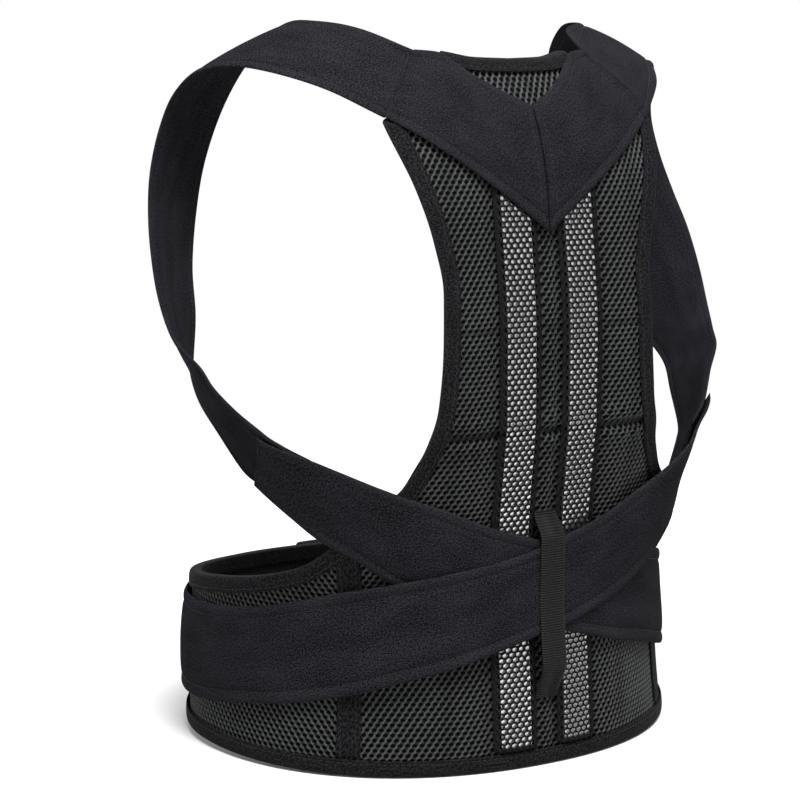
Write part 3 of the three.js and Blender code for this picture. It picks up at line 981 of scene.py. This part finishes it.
class BRACE_OT_yoke(bpy.types.Operator):
    """Two velour halves sewn to each other in the middle of the back."""

    bl_idname = "brace.yoke"
    bl_label = "Yoke"

    def execute(self, context):
        sizes, form = sizes_and_form(context)
        threads = bmesh.new()
        cloth = Velour(sizes, .06)
        for name, side in SIDES:
            def place(u, v, w):
                angle = mix(.12, mix(RIM_CORNER, SCOOP_CORNER, v) - .15, u)
                upper = -form.height * read(YOKE, "across", u, "upper")
                lower = -form.height * read(YOKE, "across", u, "lower")
                middle = -.0008 * (1 - smooth(0, .022, u)) - .0005 * groove(u, MIDDLE_SEAM, .012)
                shoulder = -.0011 * groove(u, SHOULDER_SEAM, .03)
                lift = form.yoke_inner + w * (sizes.cloth_wall + cloth.relief(v) + middle + shoulder)
                return form.around(side * angle, mix(lower, upper, v), lift)

            columns = stations(30, .006, .014, .022, .043, MIDDLE_SEAM, .067,
                               .915, .922, SHOULDER_SEAM, .938, .945, .99)
            # The mark paints shade along the shoulder seam, where the yoke's edge lies over the strap
            bm = grid_shell(columns, cloth.rows(), place, (.1, cloth.width),
                            lambda u, v: cloth.hem(u, v) - 1.3 * groove(u, SHOULDER_SEAM, .008))
            piece = make_piece(context, f"yoke_cloth_{name}", bm, ("velour",), (f"yoke_{name}",))
            sew_rows(threads, sizes, place, cloth.seams, .03, .92)
            for u in (MIDDLE_SEAM, SHOULDER_SEAM):
                add_stitches(threads, lambda t: (place(u, mix(.08, .92, t), THREAD_ABOVE),
                                                 place(u, .5, 1) - place(u, .5, 0)), sizes)
        make_piece(context, "yoke_stitches", threads, ("thread",), levels=0)
        return {"FINISHED"}


class BRACE_OT_stays(bpy.types.Operator):
    """Satin aluminium stays under open mesh channels."""

    bl_idname = "brace.stays"
    bl_label = "Stays and Channels"

    def execute(self, context):
        sizes, form = sizes_and_form(context)
        metal = finish_named(context, "aluminium")
        half_bar = sizes.stay_width / 2
        reach = half_bar + 4.5 * MM
        bottom = form.level(HEM, 0) + sizes.binding_width + 1.2 * MM
        for name, side in SIDES:
            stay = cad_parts[f"stay_{name}"]
            for material_slot in stay.material_slots:
                material_slot.material = metal

            def lift(a):
                return mix(CHANNEL_OUTER - .0003, sizes.panel_wall + .0009,
                           smooth(half_bar + .0002, half_bar + .0028, abs(a)))

            def top_of(x):
                at = math.degrees(math.atan(x / .12)) / RIM_CORNER
                return -form.height * read(YOKE, "across", at, "lower") + .004

            def settle(a, level):
                level = min(max(level, bottom), top_of(sizes.stay_offset + a))
                return max(-reach, min(reach, a)), level

            def outer(a, level):
                return form.on_back(side * (sizes.stay_offset + a), level,
                                    lift(a) - .0005 * groove(level, WAIST_SEAM, .003))

            # Painted shade in the grooves of the waist and back seams across the net
            def shade(a, level):
                return max(groove(level, WAIST_SEAM, .0022), .5 * groove(level, BACK_SEAM, .0015))

            def quiet(a, level):
                return abs(a) > reach - .8 * MM

            past = reach + .6 * MM
            bm, whole, *_ = hex_cloth(sizes, (-past, bottom - MM), (past, -.088), settle, outer, shade,
                                      quiet)
            holes = [f for f in bm.faces if f[whole]]
            inset_holes(bm, holes, NET_RIB / 2, 0)
            bmesh.ops.delete(bm, geom=holes, context="FACES")
            face_outward(bm)
            outward = sum(f.normal.y for f in bm.faces) < 0
            bmesh.ops.solidify(bm, geom=bm.faces[:], thickness=.5 * MM if outward else -.5 * MM)
            face_outward(bm)
            piece = make_piece(context, f"channel_cloth_{name}", bm, ("stay_net",),
                               (f"stay_channel_{name}",), levels=0)
        return {"FINISHED"}


def yoke_end(form, v):
    """A place just inside the yoke's shoulder edge, v from its arm side to its neck side."""
    lower, upper = (-form.height * YOKE[column][-1] for column in ("lower", "upper"))
    return form.around(mix(RIM_CORNER, SCOOP_CORNER, v) - .5, mix(lower, upper, v), form.yoke_outer - .0006)


def strap_curves(form, side):
    sizes = form.sizes
    lift = form.band_inner - .0024
    scale = Vector((sizes.half_width, sizes.front_depth, -sizes.height))
    arm = [yoke_end(form, 0)]
    arm += [Vector(p) * scale for p in STRAP_ARM]
    arm += [form.around(a, form.band_level(-a, "top") + rise, lift) for a, _, rise in STRAP_ON_BAND]
    neck = [yoke_end(form, 1)]
    neck += [Vector(p) * scale for p in STRAP_NECK]
    neck += [form.around(a, form.band_level(-a, "bottom") + .0015, lift) for _, a, _ in STRAP_ON_BAND]
    return [[Vector((p.x * side, p.y, p.z)) for p in line] for line in (arm, neck)]


class BRACE_OT_shoulder_straps(bpy.types.Operator):
    """Velour straps from the yoke over the shoulders to the armpits."""

    bl_idname = "brace.shoulder_straps"
    bl_label = "Shoulder Straps"

    def execute(self, context):
        sizes, form = sizes_and_form(context)
        threads = bmesh.new()
        cloth = Velour(sizes, .068)
        for name, side in SIDES:
            arm, neck = strap_curves(form, side)

            def skin(u, v):
                flat = curve_place(arm, u).lerp(curve_place(neck, u), v)
                round_yoke = yoke_end(form, v) - yoke_end(form, 0).lerp(yoke_end(form, 1), v)
                round_yoke.x *= side
                return flat + round_yoke * (1 - smooth(0, .09, u))

            def outward(u, v):
                run = skin(min(1, u + .01), v) - skin(max(0, u - .01), v)
                across = curve_place(neck, u) - curve_place(arm, u)
                return run.cross(across).normalized() * side

            def place(u, v, w):
                crown = .0012 * math.sin(math.pi * v) ** 2
                wave = .0012 * noise.noise(Vector((u * 7, v * 1.5, side * 3.1))) * math.sin(math.pi * u)
                relief = cloth.relief(v)
                lift = (w - 1) * sizes.cloth_wall + w * relief + crown + wave - (1 - w) * relief * .6
                return skin(u, v) + outward(u, v) * lift

            # The mark paints a shadow on the strap's end, where it runs under the band's tab
            bm = grid_shell(stations(110, .004, .01), cloth.rows(), place, (.5, cloth.width),
                            lambda u, v: cloth.hem(u, v) - 1.2 * smooth(.7, .76, u) * smooth(.05, .3, v))
            piece = make_piece(context, f"strap_cloth_{name}", bm, ("velour",),
                               (f"shoulder_strap_{name}",))
            for v in cloth.seams:
                for w, way in ((THREAD_ABOVE, 1), (1 - THREAD_ABOVE, -1)):
                    add_stitches(threads, lambda t: (place(mix(.02, .99, t), v, w),
                                                     way * outward(mix(.02, .99, t), v)), sizes)
        make_piece(context, "strap_stitches", threads, ("thread",), levels=0)
        return {"FINISHED"}


class BRACE_OT_cross_bands(bpy.types.Operator):
    """Velour bands that cross on the back and go round the waist."""

    bl_idname = "brace.cross_bands"
    bl_label = "Cross Bands"

    def execute(self, context):
        sizes, form = sizes_and_form(context)
        threads = bmesh.new()
        cloth = Velour(sizes, .052)
        for name, start, crossing, near, far in (("left", 1, form.lower_crossing, 17, 26),
                                                 ("right", -1, form.upper_crossing, 44, 54)):
            def place(u, v, w):
                angle = mix(TAB_ANGLE + TAB_SLANT * (2 * v - 1), BAND_END, u)
                z = mix(form.band_level(angle, "bottom"), form.band_level(angle, "top"), v)
                lift = mix(crossing, form.band_inner, smooth(near, far, abs(angle)))
                ends = -.0009 * (1 - smooth(0, .008, min(u, 1 - u)))
                wave = .0008 * noise.noise(Vector((u * 11, v * 1.2, start * 5.7)))
                lift += w * (wave + sizes.cloth_wall + cloth.relief(v) + ends)
                return form.around(start * angle, z, lift)

            bm = grid_shell(stations(130, .001, .004, .008, .992, .996, .999), cloth.rows(), place,
                            (.52, cloth.width), cloth.hem)
            piece = make_piece(context, f"band_cloth_{name}", bm, ("velour",),
                               (f"cross_band_{name}",))
            sew_rows(threads, sizes, place, cloth.seams, .01, .99)
        make_piece(context, "band_stitches", threads, ("thread",), levels=0)
        return {"FINISHED"}


class BRACE_OT_keeper(bpy.types.Operator):
    """Ribbed webbing loop that holds the crossing to the panel."""

    bl_idname = "brace.keeper"
    bl_label = "Keeper Loop"

    def execute(self, context):
        sizes, form = sizes_and_form(context)
        top = form.band_level(0, "top") + .018
        bottom = form.band_level(0, "bottom") - .04

        def place(u, v, w):
            x = (u - .5) * sizes.keeper_width
            z = mix(bottom, top, v)
            seat = sizes.panel_wall + .0005
            lift = mix(seat, form.keeper_inner, smooth(0, .2, v) * (1 - smooth(.86, 1, v)))
            edge = min(u, 1 - u) * sizes.keeper_width
            ribs = .0002 * math.cos(v * 74 * math.tau + math.sin(u * math.tau) * .8)
            rounding = -.0006 * (1 - smooth(0, .0012, edge))
            return form.on_back(x, z, lift + w * (WEBBING_WALL + ribs + rounding))

        bm = grid_shell([0, .03, .08, *(k / 10 for k in range(1, 10)), .92, .97, 1], stations(592), place,
                        (sizes.keeper_width, .116), lambda u, v: 0)
        piece = make_piece(context, "keeper_webbing", bm, ("webbing",), ("keeper_loop",),
                           levels=0)
        return {"FINISHED"}


class BRACE_OT_studio(bpy.types.Operator):
    """Pale floor, soft light and the camera."""

    bl_idname = "brace.studio"
    bl_label = "Studio"

    def execute(self, context):
        scene = context.scene
        studio = scene.brace_studio
        floor_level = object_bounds()[0][2] - .0005
        bm = bmesh.new()
        bmesh.ops.create_circle(bm, cap_ends=True, segments=96, radius=1)
        bmesh.ops.translate(bm, verts=bm.verts[:], vec=(0, 0, floor_level))
        floor = make_object(context, "floor", bm, ("floor",))
        floor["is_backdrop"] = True

        world = bpy.data.worlds.new("studio")
        scene.world = world
        world.use_nodes = True
        background = next(n for n in world.node_tree.nodes if n.type == "BACKGROUND")
        background.inputs["Color"].default_value = (1, 1, 1, 1)
        background.inputs["Strength"].default_value = studio.sky

        for name, place, spread, power in (("key", (-.35, -1.0, 1.9), 1.1, studio.key_power),
                                           ("rim", (1.3, .8, .9), 1.0, studio.rim_power)):
            light = bpy.data.lights.new(name, "AREA")
            light.shape = "SQUARE"
            light.size = spread
            light.energy = power
            lamp = bpy.data.objects.new(name, light)
            lamp.location = place
            lamp.rotation_euler = (Vector((0, 0, -.2)) - Vector(place)).to_track_quat("-Z", "Y").to_euler()
            scene.collection.objects.link(lamp)

        turn, rise = studio.turn, studio.rise
        back = Vector((-math.sin(turn) * math.cos(rise), -math.cos(turn) * math.cos(rise), math.sin(rise)))
        right = Vector((math.cos(turn), -math.sin(turn), 0))
        up = back.cross(right)
        view = bpy.data.cameras.new("camera")
        view.lens = studio.lens
        view.sensor_width = 36
        camera = bpy.data.objects.new("camera", view)
        camera.matrix_world = (Matrix.Translation(Vector(studio.eye))
                               @ Matrix((right, up, back)).transposed().to_4x4())
        scene.collection.objects.link(camera)
        scene.camera = camera
        scene.view_settings.view_transform = "Standard"
        return {"FINISHED"}


class BRACE_PT_sidebar(bpy.types.Panel):
    bl_idname = "BRACE_PT_sidebar"
    bl_label = "Posture Corrector"
    bl_space_type = "VIEW_3D"
    bl_region_type = "UI"
    bl_category = "Brace"

    def draw(self, context):
        for group in (context.scene.brace_sizes, context.scene.brace_colours, context.scene.brace_studio):
            box = self.layout.box()
            for name in group.__annotations__:
                box.prop(group, name)
        for step in OPERATORS:
            self.layout.operator(step.bl_idname)


GROUPS = {"brace_sizes": BraceSizes, "brace_colours": BraceColours, "brace_studio": BraceStudio}
OPERATORS = (BRACE_OT_back_panel, BRACE_OT_belt_wings, BRACE_OT_bindings, BRACE_OT_yoke, BRACE_OT_stays,
             BRACE_OT_shoulder_straps, BRACE_OT_cross_bands, BRACE_OT_keeper, BRACE_OT_studio)


def register():
    for group in (*GROUPS.values(), *OPERATORS, BRACE_PT_sidebar):
        bpy.utils.register_class(group)
    for name, group in GROUPS.items():
        setattr(bpy.types.Scene, name, PointerProperty(type=group))


def unregister():
    for name in GROUPS:
        delattr(bpy.types.Scene, name)
    for group in (BRACE_PT_sidebar, *reversed(OPERATORS), *GROUPS.values()):
        bpy.utils.unregister_class(group)


def main():
    register()
    for step in OPERATORS:
        family, name = step.bl_idname.split(".")
        getattr(getattr(bpy.ops, family), name)()


if __name__ == "__main__":
    main()
